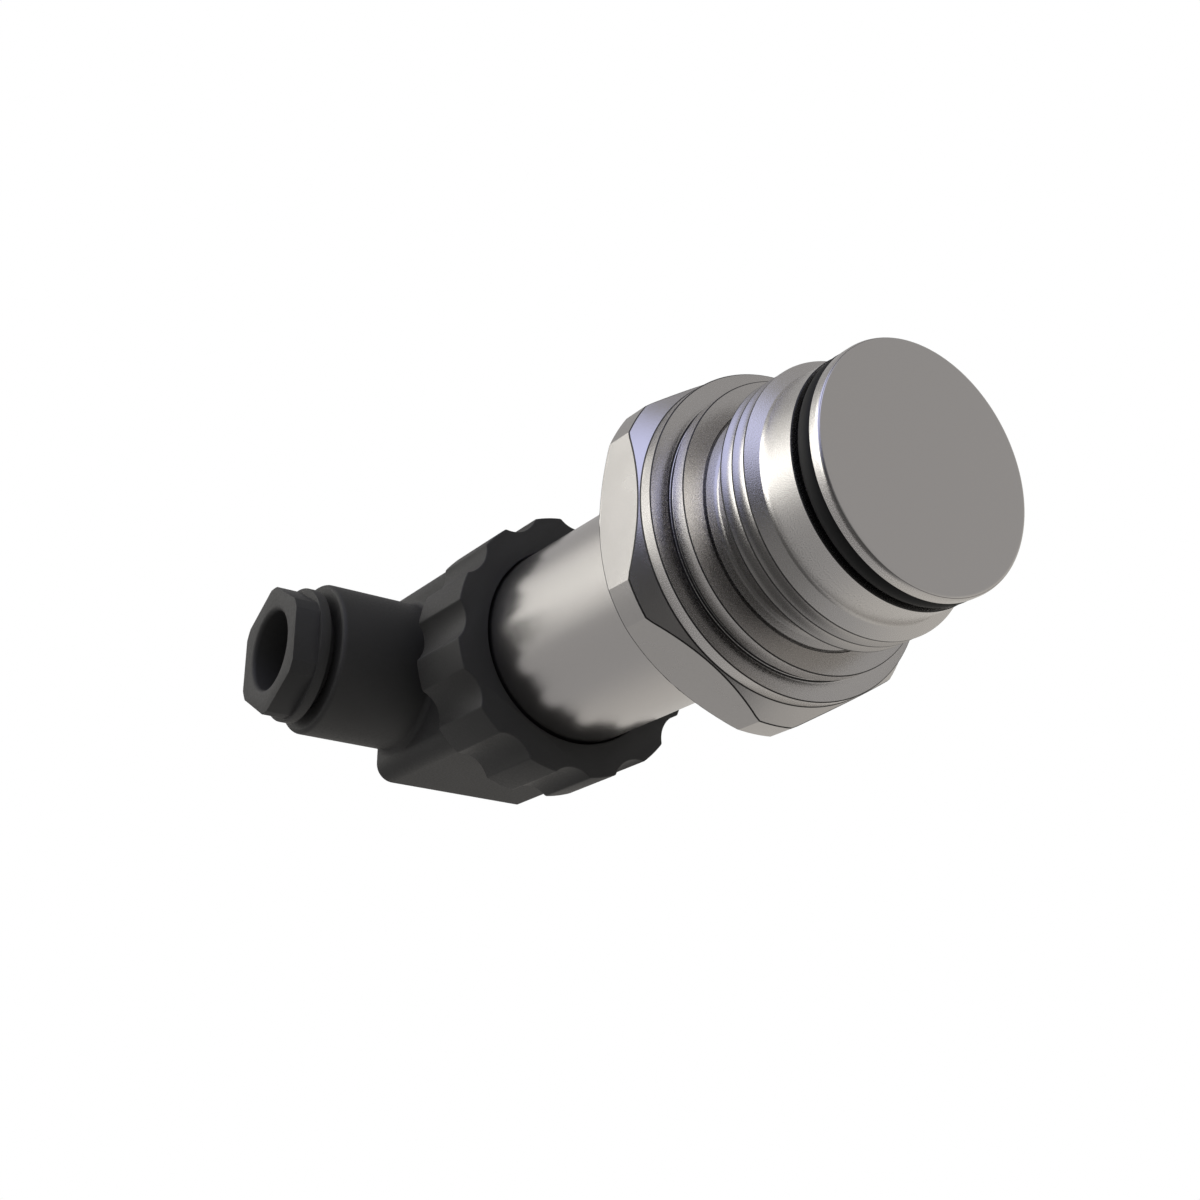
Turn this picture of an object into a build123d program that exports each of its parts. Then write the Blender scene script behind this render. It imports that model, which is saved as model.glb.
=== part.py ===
from build123d import *
import os
from math import sqrt

# Flush-face pressure transmitter with an angular plug. Millimetres.
# The origin is the centre of the flat sensing face, +Z runs along the body to the plug,
# and +X is the way the cable gland points.

# Sensing nose
membrane_thickness = 0.3
membrane_edge_round = 0.2
nose_radius = 15.06
nose_rim_length = 1.57
nose_groove_width = 2.85
nose_length = 9.45
nose_ring_section = 2.5
nose_ring_squeeze = 0.03
nose_end_round = 0.4

# Screw-in thread and relief behind it
thread_radius = 16.6
thread_lead_in = 1.0
thread_pitch = 2.0
thread_turns = 2
thread_depth = 0.62
relief_radius = 14.9
relief_length = 4.95
relief_round = 0.3

# Sealing shoulder and collar
shoulder_radius = 18.05
shoulder_length = 1.97
shoulder_edge_break = 0.12
seal_groove_radius = 17.3
seal_groove_width = 1.15
seal_groove_round = 0.8
collar_radius = 20.28
collar_length = 1.83

# Spanner hexagon, with both ends turned to a cone
hexagon_flats = 41.0
hexagon_turned_radius = 22.37
hexagon_length = 8.05
hexagon_rear_bevel = 1.96

# Case tube
tube_radius = 13.62
tube_wall = 1.2
tube_length = 44.0
tube_thread_step = 0.32
tube_thread_length = 5.8
tube_end_break = 0.4
spigot_length = 5.6
spigot_clearance = 0.05

# Measuring cell
cell_bore_radius = 9.5
cell_seat_height = 15.0
cell_radius = 9.4
cell_thickness = 3.5
cell_flange_step = 0.6
oil_duct_radius = 0.8
wave_bed_radius = 12.5
wave_bed_depth = 0.35
die_pocket_radius = 4.3
die_pocket_depth = 1.8
die_side = 2.4
die_top_inset = 0.2
die_thickness = 0.5
die_base_thickness = 0.7
cell_pin_circle_radius = 3.2
cell_pin_positions = 6
cell_pin_radius = 0.23
cell_pin_tip = 0.5
glass_radius = 0.58
fit_gap = 0.02
fill_port_radius = 0.4
fill_ball_radius = 1.0
fill_seat_depth = 1.9

# Adapter board on the cell pins and the flat cable up to the main board
adapter_radius = 7.6
adapter_thickness = 1.0
adapter_standoff = 2.0
adapter_pin_proud = 0.6
flat_cable_width = 5.0
flat_cable_thickness = 0.2
flat_cable_foot = 1.3
flat_cable_lap = 5.0
flat_cable_bend = 1.2

# Board carrier and main board
carrier_ring_thickness = 3.0
carrier_side_gap = 0.2
carrier_window_radius = 5.2
rail_width = 3.2
rail_depth = 4.4
rail_setback = 3.9
rail_groove = 1.7
board_side_room = 2.42
board_thickness = 1.6
board_wire_room = 5.5
chip_thickness = 1.3
main_chip_side = 7.0
main_chip_rise = 10.0
side_chip_width = 3.6
side_chip_length = 4.6
side_chip_spread = 8.0
chip_row_gap = 2.2
small_part_count = 5
small_part_pitch = 2.6
small_part_width = 1.2
small_part_length = 2.0
small_part_thickness = 0.8
small_part_rise = 8.0
header_width = 9.0
header_length = 3.2
header_depth = 3.0
board_seat_depth = 1.5
board_gap = 0.05

# Contact base in the end of the tube
base_spigot_length = 5.0
base_spigot_gap = 0.22
base_flange_inset = 0.2
base_flange_thickness = 1.6
base_platform_radius = 11.2
base_platform_proud = 0.2
base_ring_section = 1.5
base_ring_groove_width = 1.9
base_ring_groove_setback = 1.2
insert_radius = 2.6
insert_length = 6.8

# Blade contacts, flat blades of 6.3 by 0.8 on an 18 mm circle
contact_spread_radius = 9.0
blade_width = 6.3
blade_thickness = 0.8
blade_height = 9.8
blade_tail = 2.4
blade_tail_width = 2.0
blade_tip_bevel = 0.25

# Coupling ring round the tube end
ring_length = 11.5
ring_seat_gap = 0.2
ring_crest_radius = 18.53
ring_scallop_count = 12
ring_scallop_radius = 4.0
ring_root_radius = 17.3
ring_bore_gap = 0.23
ring_bore_length = 2.3
ring_thread_gap = 0.12
ring_lip_thickness = 2.0
ring_lip_gap = 0.3
ring_edge_break = 0.15

# Lead wires from the board to the contact base
wire_radius = 0.45
wire_inner_place = 1.0
wire_outer_place = 3.0
wire_bend = 0.9
wire_rise = 1.9

# Flat gasket under the plug
gasket_thickness = 1.0
gasket_side_gap = 0.2
gasket_slot_gap = 0.2

# Angular plug
plug_front = 13.2
plug_back_room = 0.2
plug_half_width = 13.8
plug_foot_gap = 0.4
plug_height = 20.7
plug_wall = 1.9
plug_back_wall = 1.0
plug_roof = 2.0
plug_front_corner = 2.6
plug_back_corner = 0.5
plug_roof_edge = 0.5
plug_inner_corner = 1.0
hump_back = 6.6
boss_radius = 5.3

# Cable gland on the side of the plug
gland_rise = 13.98
neck_radius = 10.68
neck_length = 14.4
neck_end_round = 0.7
neck_root_round = 0.8
gland_bore_radius = 7.7
gland_shelf = 3.3
gland_throat_radius = 5.4
gland_seal_length = 4.2
gland_seal_hole = 3.9
gland_seal_mouth = 0.9
thrust_ring_thickness = 1.2
nut_shank_radius = 7.5
nut_standoff = 1.25
nut_flange_thickness = 1.5
nut_flange_radius = 9.5
nut_flange_break = 0.2
nut_flats = 16.7
nut_turned_radius = 9.15
nut_hexagon_length = 3.45
nut_bore_radius = 5.6
nut_mouth_round = 0.7
face_gap = 0.1
side_gap = 0.15

# Contact carrier inside the plug, with its sockets and clamping screws
insert_block_height = 8.7
socket_leaf = 0.35
socket_width = 6.8
socket_slot_gap = 0.05
socket_foot = 0.3
terminal_depth = 4.0
terminal_height = 3.4
clamp_screw_radius = 1.25
clamp_head_radius = 2.2
clamp_head_height = 1.3
clamp_screw_reach = 2.4
wire_hole_radius = 0.9
core_recess_depth = 4.0
core_recess_side = 4.6

# Central fixing screw
screw_radius = 1.5
screw_head_round = 0.2
screw_head_radius = 2.75
screw_head_height = 2.2
screw_clearance = 0.25
screw_tip_gap = 0.8
recess_radius = 3.2
recess_depth = 3.5
slot_width = 0.8
slot_depth = 1.0
cross_slot_reach = 3.85
washer_thickness = 0.8

# Heights worked out from the sizes above
groove_rear = nose_rim_length + nose_groove_width
groove_radius = nose_radius - nose_ring_section - nose_ring_squeeze
thread_start = nose_length + thread_lead_in
thread_end = thread_start + thread_turns * thread_pitch
relief_end = thread_end + relief_length
shoulder_end = relief_end + shoulder_length
collar_start = shoulder_end + seal_groove_width
collar_end = collar_start + collar_length
hexagon_end = collar_end + hexagon_length
spigot_end = hexagon_end + spigot_length
tube_end = hexagon_end + tube_length
tube_inner_radius = tube_radius - tube_wall
tube_thread_radius = tube_radius - tube_thread_step
tube_thread_start = tube_end - tube_thread_length
base_flange_radius = tube_thread_radius - base_flange_inset
board_width = 2 * (tube_inner_radius - board_side_room)
flange_top = tube_end + base_flange_thickness
ring_bore_radius = tube_radius + ring_bore_gap
ring_lip_height = flange_top + ring_seat_gap
ring_rear_height = ring_lip_height + ring_lip_thickness
ring_front_height = ring_rear_height - ring_length
platform_top = ring_rear_height + base_platform_proud
blade_top = platform_top + blade_height
gasket_top = platform_top + gasket_thickness
plug_foot = ring_rear_height + plug_foot_gap
plug_top = plug_foot + plug_height
socket_thickness = blade_thickness + 2 * socket_slot_gap + 2 * socket_leaf
plug_back = contact_spread_radius + socket_thickness / 2 + plug_back_room + plug_back_wall
cavity_top = plug_top - plug_roof
gland_height = plug_foot + gland_rise
hump_top = gland_height + neck_radius
neck_end = plug_front + neck_length
gland_seat = plug_front + gland_shelf
nut_flange_rear = neck_end + nut_standoff
nut_flange_front = nut_flange_rear + nut_flange_thickness
nut_end = nut_flange_front + nut_hexagon_length

os.makedirs("parts", exist_ok=True)


def rings(part, radius, height):
    """Circular edges about the body's axis, of one radius at one height."""
    near = 0.01
    return (
        part.edges()
        .filter_by(GeomType.CIRCLE)
        .filter_by(lambda edge: abs(edge.radius - radius) < near)
        .filter_by(lambda edge: abs(edge.arc_center.Z - height) < near)
    )


# Process body, turned from hexagon bar in one piece
with BuildPart() as process_body:
    with BuildSketch(Plane.XZ):
        with BuildLine():
            Polyline(
                (0, membrane_thickness),
                (nose_radius, membrane_thickness),
                (nose_radius, nose_rim_length),
                (groove_radius, nose_rim_length),
                (groove_radius, groove_rear),
                (nose_radius, groove_rear),
                (nose_radius, nose_length),
                (thread_radius, thread_start),
            )
            for turn in range(thread_turns):
                crest = thread_start + turn * thread_pitch
                ThreePointArc(
                    (thread_radius, crest),
                    (thread_radius - thread_depth, crest + thread_pitch / 2),
                    (thread_radius, crest + thread_pitch),
                )
            Polyline(
                (thread_radius, thread_end),
                (relief_radius, thread_end + thread_radius - relief_radius),
                (relief_radius, relief_end),
                (shoulder_radius, relief_end),
                (shoulder_radius, shoulder_end),
                (seal_groove_radius, shoulder_end),
                (seal_groove_radius, collar_start),
                (collar_radius, collar_start),
                (collar_radius, collar_end),
                (hexagon_turned_radius, collar_end + hexagon_turned_radius - collar_radius),
                (hexagon_turned_radius, hexagon_end - hexagon_rear_bevel),
                (hexagon_turned_radius - hexagon_rear_bevel, hexagon_end),
                (tube_inner_radius - spigot_clearance, hexagon_end),
                (tube_inner_radius - spigot_clearance, spigot_end),
                (0, spigot_end),
                (0, membrane_thickness),
            )
        make_face()
    revolve(axis=Axis.Z)
    with BuildSketch(Plane.XY.offset(collar_end)):
        Circle(hexagon_flats)
        RegularPolygon(hexagon_flats / 2, 6, major_radius=False, rotation=30, mode=Mode.SUBTRACT)
    extrude(amount=hexagon_length, mode=Mode.SUBTRACT)
    fillet(rings(process_body, relief_radius, relief_end), relief_round)
    fillet(rings(process_body, seal_groove_radius, collar_start), seal_groove_round)
    fillet(rings(process_body, nose_radius, nose_length), nose_end_round)
    chamfer(rings(process_body, shoulder_radius, relief_end), shoulder_edge_break)
    with BuildSketch(Plane.XY.offset(membrane_thickness)):
        Circle(wave_bed_radius)
    extrude(amount=wave_bed_depth, mode=Mode.SUBTRACT)
    with BuildSketch(Plane.XY.offset(membrane_thickness)):
        Circle(oil_duct_radius)
    extrude(amount=cell_seat_height - membrane_thickness, mode=Mode.SUBTRACT)
    with BuildSketch(Plane.XY.offset(cell_seat_height - die_pocket_depth)):
        Circle(die_pocket_radius)
    extrude(amount=die_pocket_depth, mode=Mode.SUBTRACT)
    with BuildSketch(Plane.XY.offset(cell_seat_height)):
        Circle(cell_bore_radius)
    extrude(amount=spigot_end - cell_seat_height, mode=Mode.SUBTRACT)
process_body.part.label = "process_body"
export_step(process_body.part, "parts/process_body.step")

# Flush membrane, welded over the oil-filled wave bed
with BuildPart() as membrane:
    with BuildSketch(Plane.XY):
        Circle(nose_radius)
    extrude(amount=membrane_thickness)
    fillet(membrane.edges().group_by(Axis.Z)[0], membrane_edge_round)
membrane.part.label = "membrane"
export_step(membrane.part, "parts/membrane.step")

# Sealing ring in the nose groove, pressed against the front wall
nose_ring_height = nose_rim_length + nose_ring_section / 2 + nose_ring_squeeze
with BuildPart() as nose_o_ring:
    with BuildSketch(Plane.XZ):
        with Locations((nose_radius - nose_ring_section / 2 - nose_ring_squeeze / 2, nose_ring_height)):
            Circle(nose_ring_section / 2)
    revolve(axis=Axis.Z)
nose_o_ring.part.label = "nose_o_ring"
export_step(nose_o_ring.part, "parts/nose_o_ring.step")

# Measuring cell body, with its glass-sealed pins and a filling port
pin_spread = PolarLocations(cell_pin_circle_radius, cell_pin_positions).locations
port_place = pin_spread[0]
pin_places = pin_spread[1:]
cell_top = cell_seat_height + cell_thickness
adapter_height = cell_top + adapter_standoff
adapter_top = adapter_height + adapter_thickness
with BuildPart() as cell_header:
    with BuildSketch(Plane.XY.offset(cell_seat_height)):
        Circle(cell_radius)
    extrude(amount=cell_thickness)
    chamfer(cell_header.edges().group_by(Axis.Z)[-1], cell_flange_step)
    with BuildSketch(Plane.XY.offset(cell_seat_height)):
        with Locations(*pin_places):
            Circle(glass_radius + fit_gap)
        with Locations(port_place):
            Circle(fill_port_radius)
    extrude(amount=cell_thickness, mode=Mode.SUBTRACT)
    with BuildSketch(Plane.XY.offset(cell_top - fill_seat_depth)):
        with Locations(port_place):
            Circle(fill_ball_radius + fit_gap)
    extrude(amount=fill_seat_depth, mode=Mode.SUBTRACT)
cell_header.part.label = "cell_header"
export_step(cell_header.part, "parts/cell_header.step")

with BuildPart() as cell_glass:
    with BuildSketch(Plane.XY.offset(cell_seat_height)):
        with Locations(*pin_places):
            Circle(glass_radius)
            Circle(cell_pin_radius + fit_gap, mode=Mode.SUBTRACT)
    extrude(amount=cell_thickness)
cell_glass.part.label = "cell_glass"
export_step(cell_glass.part, "parts/cell_glass.step")

with BuildPart() as cell_pins:
    with BuildSketch(Plane.XY.offset(cell_seat_height - cell_pin_tip)):
        with Locations(*pin_places):
            Circle(cell_pin_radius)
    extrude(amount=adapter_top + adapter_pin_proud - cell_seat_height + cell_pin_tip)
cell_pins.part.label = "cell_pins"
export_step(cell_pins.part, "parts/cell_pins.step")

# Silicon die on its glass base, bonded under the header in the oil pocket
with BuildPart() as sensor_die:
    with BuildSketch(Plane.XY.offset(cell_seat_height - die_base_thickness)):
        Rectangle(die_side, die_side)
    extrude(amount=die_base_thickness)
    with BuildSketch(Plane.XY.offset(cell_seat_height - die_base_thickness - die_thickness)):
        Rectangle(die_side - 2 * die_top_inset, die_side - 2 * die_top_inset)
    extrude(amount=die_thickness)
sensor_die.part.label = "sensor_die"
export_step(sensor_die.part, "parts/sensor_die.step")

# Steel ball that closes the filling port
ball_rest = sqrt(fill_ball_radius**2 - fill_port_radius**2)
with BuildPart() as fill_ball:
    with Locations(Plane.XY.offset(cell_top - fill_seat_depth + ball_rest + fit_gap).location * port_place):
        Sphere(fill_ball_radius)
fill_ball.part.label = "fill_ball"
export_step(fill_ball.part, "parts/fill_ball.step")

# Round adapter board carried on the cell pins
with BuildPart() as adapter_board:
    with BuildSketch(Plane.XY.offset(adapter_height)):
        Circle(adapter_radius)
        with Locations(*pin_places):
            Circle(cell_pin_radius + fit_gap, mode=Mode.SUBTRACT)
    extrude(amount=adapter_thickness)
adapter_board.part.label = "adapter_board"
export_step(adapter_board.part, "parts/adapter_board.step")

# Case tube, pushed over the spigot and welded to the hexagon
with BuildPart() as case_tube:
    with BuildSketch(Plane.XZ):
        with BuildLine():
            Polyline(
                (tube_inner_radius, hexagon_end),
                (tube_radius, hexagon_end),
                (tube_radius, tube_thread_start),
                (tube_thread_radius, tube_thread_start),
                (tube_thread_radius, tube_end - tube_end_break),
                (tube_thread_radius - tube_end_break, tube_end),
                (tube_inner_radius, tube_end),
                (tube_inner_radius, hexagon_end),
            )
        make_face()
    revolve(axis=Axis.Z)
case_tube.part.label = "case_tube"
export_step(case_tube.part, "parts/case_tube.step")

# Board carrier, a moulded ring with two grooved rails
carrier_top = spigot_end + carrier_ring_thickness
board_foot = carrier_top - board_seat_depth
base_foot = tube_end - base_spigot_length
board_top = base_foot - board_wire_room
rail_inner = board_width / 2 + board_gap - rail_groove
with BuildPart() as board_carrier:
    with BuildSketch(Plane.XY.offset(spigot_end)):
        Circle(tube_inner_radius - carrier_side_gap)
        Circle(carrier_window_radius, mode=Mode.SUBTRACT)
    extrude(amount=carrier_ring_thickness)
    with BuildSketch(Plane.XY.offset(carrier_top)):
        with Locations((rail_inner + rail_width / 2, 0), (-rail_inner - rail_width / 2, 0)):
            Rectangle(rail_width, rail_depth)
    extrude(amount=board_top - rail_setback - carrier_top)
    with BuildSketch(Plane.XY.offset(board_foot)):
        Rectangle(board_width + 2 * board_gap, board_thickness + 2 * board_gap)
    extrude(amount=board_top - board_foot, mode=Mode.SUBTRACT)
board_carrier.part.label = "board_carrier"
export_step(board_carrier.part, "parts/board_carrier.step")

# Main board, standing in the rails
with BuildPart() as main_board:
    with BuildSketch(Plane.XY.offset(board_foot)):
        Rectangle(board_width, board_thickness)
    extrude(amount=board_top - board_foot)
main_board.part.label = "main_board"
export_step(main_board.part, "parts/main_board.step")

# Chips, capacitors and the solder header on the board's two faces
board_face = board_thickness / 2
main_chip_height = board_foot + main_chip_rise
side_chip_height = main_chip_height + main_chip_side / 2 + chip_row_gap + side_chip_length / 2
chip_places = [
    (0, main_chip_height, main_chip_side, main_chip_side),
    (-side_chip_spread / 2, side_chip_height, side_chip_width, side_chip_length),
    (side_chip_spread / 2, side_chip_height, side_chip_width, side_chip_length),
]
with BuildPart() as board_components:
    for across, height, width, length in chip_places:
        with BuildSketch(Plane.XZ.offset(-board_face - chip_thickness)):
            with Locations((across, height)):
                Rectangle(width, length)
        extrude(amount=chip_thickness)
    for step in range(small_part_count):
        with BuildSketch(Plane.XZ.offset(board_face)):
            with Locations(((step - (small_part_count - 1) / 2) * small_part_pitch, board_foot + small_part_rise)):
                Rectangle(small_part_width, small_part_length)
        extrude(amount=small_part_thickness)
    with BuildSketch(Plane.XZ.offset(board_face)):
        with Locations((0, board_top - header_length / 2)):
            Rectangle(header_width, header_length)
    extrude(amount=header_depth)
board_components.part.label = "board_components"
export_step(board_components.part, "parts/board_components.step")

# Flat cable from the adapter board up the face of the main board
cable_inner = board_face
cable_outer = board_face + flat_cable_thickness
with BuildPart() as flat_cable:
    with BuildSketch(Plane.YZ.offset(-flat_cable_width / 2)):
        with BuildLine():
            Polyline(
                (cable_inner, board_foot + flat_cable_lap),
                (cable_inner, adapter_top),
                (cable_outer + flat_cable_foot, adapter_top),
                (cable_outer + flat_cable_foot, adapter_top + flat_cable_thickness),
                (cable_outer, adapter_top + flat_cable_thickness),
                (cable_outer, board_foot + flat_cable_lap),
                (cable_inner, board_foot + flat_cable_lap),
            )
        make_face()
    extrude(amount=flat_cable_width)
    fillet(
        flat_cable.edges().filter_by(Axis.X).group_by(Axis.Z)[1].sort_by(Axis.Y)[0],
        flat_cable_bend,
    )
    fillet(
        flat_cable.edges().filter_by(Axis.X).group_by(Axis.Z)[0].sort_by(Axis.Y)[0],
        flat_cable_bend + flat_cable_thickness,
    )
flat_cable.part.label = "flat_cable"
export_step(flat_cable.part, "parts/flat_cable.step")

# Contact base, moulded, with a spigot and sealing ring in the tube end
base_spigot_radius = tube_inner_radius - base_spigot_gap
base_groove_top = tube_end - base_ring_groove_setback
base_groove_foot = base_groove_top - base_ring_groove_width
base_groove_radius = tube_inner_radius - base_ring_section - 2 * fit_gap
with BuildPart() as contact_base:
    with BuildSketch(Plane.XZ):
        with BuildLine():
            Polyline(
                (0, base_foot),
                (base_spigot_radius, base_foot),
                (base_spigot_radius, base_groove_foot),
                (base_groove_radius, base_groove_foot),
                (base_groove_radius, base_groove_top),
                (base_spigot_radius, base_groove_top),
                (base_spigot_radius, tube_end),
                (base_flange_radius, tube_end),
                (base_flange_radius, flange_top),
                (base_platform_radius, flange_top),
                (base_platform_radius, platform_top),
                (0, platform_top),
                (0, base_foot),
            )
        make_face()
    revolve(axis=Axis.Z)
    with BuildSketch(Plane.XY.offset(base_foot)):
        with PolarLocations(contact_spread_radius, 4):
            Rectangle(blade_thickness + 2 * fit_gap, blade_width + 2 * fit_gap)
    extrude(amount=platform_top - base_foot, mode=Mode.SUBTRACT)
    with BuildSketch(Plane.XY.offset(platform_top - insert_length)):
        Circle(insert_radius + fit_gap)
    extrude(amount=insert_length, mode=Mode.SUBTRACT)
contact_base.part.label = "contact_base"
export_step(contact_base.part, "parts/contact_base.step")

with BuildPart() as base_o_ring:
    with BuildSketch(Plane.XZ):
        with Locations((tube_inner_radius - base_ring_section / 2 - fit_gap, (base_groove_foot + base_groove_top) / 2)):
            Circle(base_ring_section / 2)
    revolve(axis=Axis.Z)
base_o_ring.part.label = "base_o_ring"
export_step(base_o_ring.part, "parts/base_o_ring.step")

# Threaded brass insert for the central screw
with BuildPart() as screw_insert:
    with BuildSketch(Plane.XY.offset(platform_top - insert_length)):
        Circle(insert_radius)
        Circle(screw_radius + socket_slot_gap, mode=Mode.SUBTRACT)
    extrude(amount=insert_length)
screw_insert.part.label = "screw_insert"
export_step(screw_insert.part, "parts/screw_insert.step")


def blade(places, name):
    """Flat contact blades with a narrow solder tail, one at each place round the circle."""
    with BuildPart() as blades:
        with BuildSketch(Plane.XY.offset(base_foot)):
            with Locations(*places):
                Rectangle(blade_thickness, blade_width)
        extrude(amount=blade_top - base_foot)
        chamfer(blades.edges().group_by(Axis.Z)[-1], blade_tip_bevel)
        with BuildSketch(Plane.XY.offset(base_foot - blade_tail)):
            with Locations(*places):
                Rectangle(blade_thickness, blade_tail_width)
        extrude(amount=blade_tail)
    blades.part.label = name
    return blades


contact_places = PolarLocations(contact_spread_radius, 4).locations
earth_place = contact_places[2]
signal_places = [contact_places[0], contact_places[1], contact_places[3]]
contact_blades = blade(signal_places, "contact_blades")
export_step(contact_blades.part, "parts/contact_blades.step")
earth_blade = blade([earth_place], "earth_blade")
export_step(earth_blade.part, "parts/earth_blade.step")

# Lead wires, from the solder header to the tails of the blades
wire_depth = -board_face - header_depth / 2
wire_turn = board_top + wire_rise
tail_foot = base_foot - blade_tail
wire_ends = [
    (-wire_outer_place, (-contact_spread_radius, 0)),
    (-wire_inner_place, (0, contact_spread_radius)),
    (wire_inner_place, (0, -contact_spread_radius)),
    (wire_outer_place, (contact_spread_radius, 0)),
]
with BuildPart() as lead_wires:
    for across, (end_x, end_y) in wire_ends:
        with BuildLine() as route:
            FilletPolyline(
                (across, wire_depth, board_top),
                (across, wire_depth, wire_turn),
                (end_x, end_y, wire_turn),
                (end_x, end_y, tail_foot),
                radius=wire_bend,
            )
        with BuildSketch(Plane(origin=route.line @ 0, z_dir=route.line % 0)):
            Circle(wire_radius)
        sweep(path=route.line)
lead_wires.part.label = "lead_wires"
export_step(lead_wires.part, "parts/lead_wires.step")

# Coupling ring, scalloped for the fingers, screwed on the tube over the base's flange
with BuildPart() as coupling_ring:
    with BuildSketch(Plane.XY.offset(ring_front_height)):
        Circle(ring_crest_radius)
        with PolarLocations(ring_root_radius + ring_scallop_radius, ring_scallop_count):
            Circle(ring_scallop_radius, mode=Mode.SUBTRACT)
    extrude(amount=ring_length)
    chamfer(
        coupling_ring.edges().group_by(Axis.Z)[0] + coupling_ring.edges().group_by(Axis.Z)[-1],
        ring_edge_break,
    )
    with BuildSketch(Plane.XY.offset(ring_front_height)):
        Circle(ring_bore_radius)
    extrude(amount=ring_bore_length, mode=Mode.SUBTRACT)
    with BuildSketch(Plane.XY.offset(ring_front_height)):
        Circle(tube_thread_radius + ring_thread_gap)
    extrude(amount=ring_lip_height - ring_front_height, mode=Mode.SUBTRACT)
    with BuildSketch(Plane.XY.offset(ring_lip_height)):
        Circle(base_platform_radius + ring_lip_gap)
    extrude(amount=ring_lip_thickness, mode=Mode.SUBTRACT)
coupling_ring.part.label = "coupling_ring"
export_step(coupling_ring.part, "parts/coupling_ring.step")

# Plug housing: a block over the base, a side neck for the gland and a boss for the screw
cavity_front = plug_front - plug_wall
cavity_back = plug_back - plug_back_wall
cavity_half_width = plug_half_width - plug_wall
cavity_centre = (cavity_front - cavity_back) / 2
cavity_length = cavity_front + cavity_back
recess_floor = hump_top - recess_depth
with BuildPart() as plug_housing:
    with BuildSketch(Plane.XY.offset(plug_foot)):
        with Locations(((plug_front - plug_back) / 2, 0)):
            Rectangle(plug_front + plug_back, 2 * plug_half_width)
    extrude(amount=plug_height)
    fillet(plug_housing.edges().filter_by(Axis.Z).group_by(Axis.X)[-1], plug_front_corner)
    fillet(plug_housing.edges().filter_by(Axis.Z).group_by(Axis.X)[0], plug_back_corner)
    fillet(plug_housing.edges().group_by(Axis.Z)[-1], plug_roof_edge)
    with BuildSketch(Plane.YZ.offset(-hump_back)):
        with Locations((0, gland_height)):
            Circle(neck_radius)
    extrude(amount=neck_end + hump_back)
    fillet(
        plug_housing.edges().filter_by(GeomType.CIRCLE).group_by(Axis.X)[-1],
        neck_end_round,
    )
    neck_root_edge = (
        plug_housing.edges()
        .filter_by(GeomType.CIRCLE)
        .filter_by(lambda edge: abs(edge.arc_center.X - plug_front) < 0.01 and abs(edge.radius - neck_radius) < 0.01)
    )
    fillet(neck_root_edge, neck_root_round)
    with BuildSketch(Plane.XY.offset(plug_top)):
        Circle(boss_radius)
    extrude(amount=hump_top - plug_top)
    with BuildSketch(Plane.XY.offset(plug_foot)):
        with Locations((cavity_centre, 0)):
            RectangleRounded(cavity_length, 2 * cavity_half_width, plug_inner_corner)
    extrude(amount=cavity_top - plug_foot, mode=Mode.SUBTRACT)
    with BuildSketch(Plane.YZ.offset(gland_seat)):
        with Locations((0, gland_height)):
            Circle(gland_bore_radius)
    extrude(amount=neck_end - gland_seat, mode=Mode.SUBTRACT)
    with BuildSketch(Plane.YZ.offset(cavity_front)):
        with Locations((0, gland_height)):
            Circle(gland_throat_radius)
    extrude(amount=gland_seat - cavity_front, mode=Mode.SUBTRACT)
    with BuildSketch(Plane.XY.offset(recess_floor)):
        Circle(recess_radius)
    extrude(amount=recess_depth, mode=Mode.SUBTRACT)
    with BuildSketch(Plane.XY.offset(cavity_top)):
        Circle(screw_radius + screw_clearance)
    extrude(amount=hump_top - cavity_top, mode=Mode.SUBTRACT)
plug_housing.part.label = "plug_housing"
export_step(plug_housing.part, "parts/plug_housing.step")

# Flat gasket on the base's platform
with BuildPart() as plug_gasket:
    with BuildSketch(Plane.XY.offset(platform_top)):
        with Locations((cavity_centre, 0)):
            RectangleRounded(
                cavity_length - 2 * gasket_side_gap,
                2 * cavity_half_width - 2 * gasket_side_gap,
                plug_inner_corner,
            )
        with PolarLocations(contact_spread_radius, 4):
            Rectangle(
                blade_thickness + 2 * gasket_slot_gap, blade_width + 2 * gasket_slot_gap, mode=Mode.SUBTRACT
            )
        Circle(insert_radius, mode=Mode.SUBTRACT)
    extrude(amount=gasket_thickness)
plug_gasket.part.label = "plug_gasket"
export_step(plug_gasket.part, "parts/plug_gasket.step")

# Contact carrier, which holds the four sockets in the plug
block_foot = gasket_top + face_gap
block_top = block_foot + insert_block_height
terminal_circle_radius = contact_spread_radius + socket_thickness / 2 - terminal_depth / 2
with BuildPart() as contact_carrier:
    with BuildSketch(Plane.XY.offset(block_foot)):
        with Locations((cavity_centre, 0)):
            RectangleRounded(
                cavity_length - 2 * side_gap, 2 * cavity_half_width - 2 * side_gap, plug_inner_corner
            )
        with PolarLocations(contact_spread_radius, 4):
            Rectangle(
                socket_thickness + 2 * face_gap, socket_width + 2 * face_gap, mode=Mode.SUBTRACT
            )
        Circle(screw_radius + screw_clearance, mode=Mode.SUBTRACT)
    extrude(amount=insert_block_height)
    with BuildSketch(Plane.XY.offset(block_foot)):
        with GridLocations(2 * core_recess_side, 2 * core_recess_side, 2, 2):
            Rectangle(core_recess_side, core_recess_side)
    extrude(amount=core_recess_depth, mode=Mode.SUBTRACT)
contact_carrier.part.label = "contact_carrier"
export_step(contact_carrier.part, "parts/contact_carrier.step")

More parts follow.
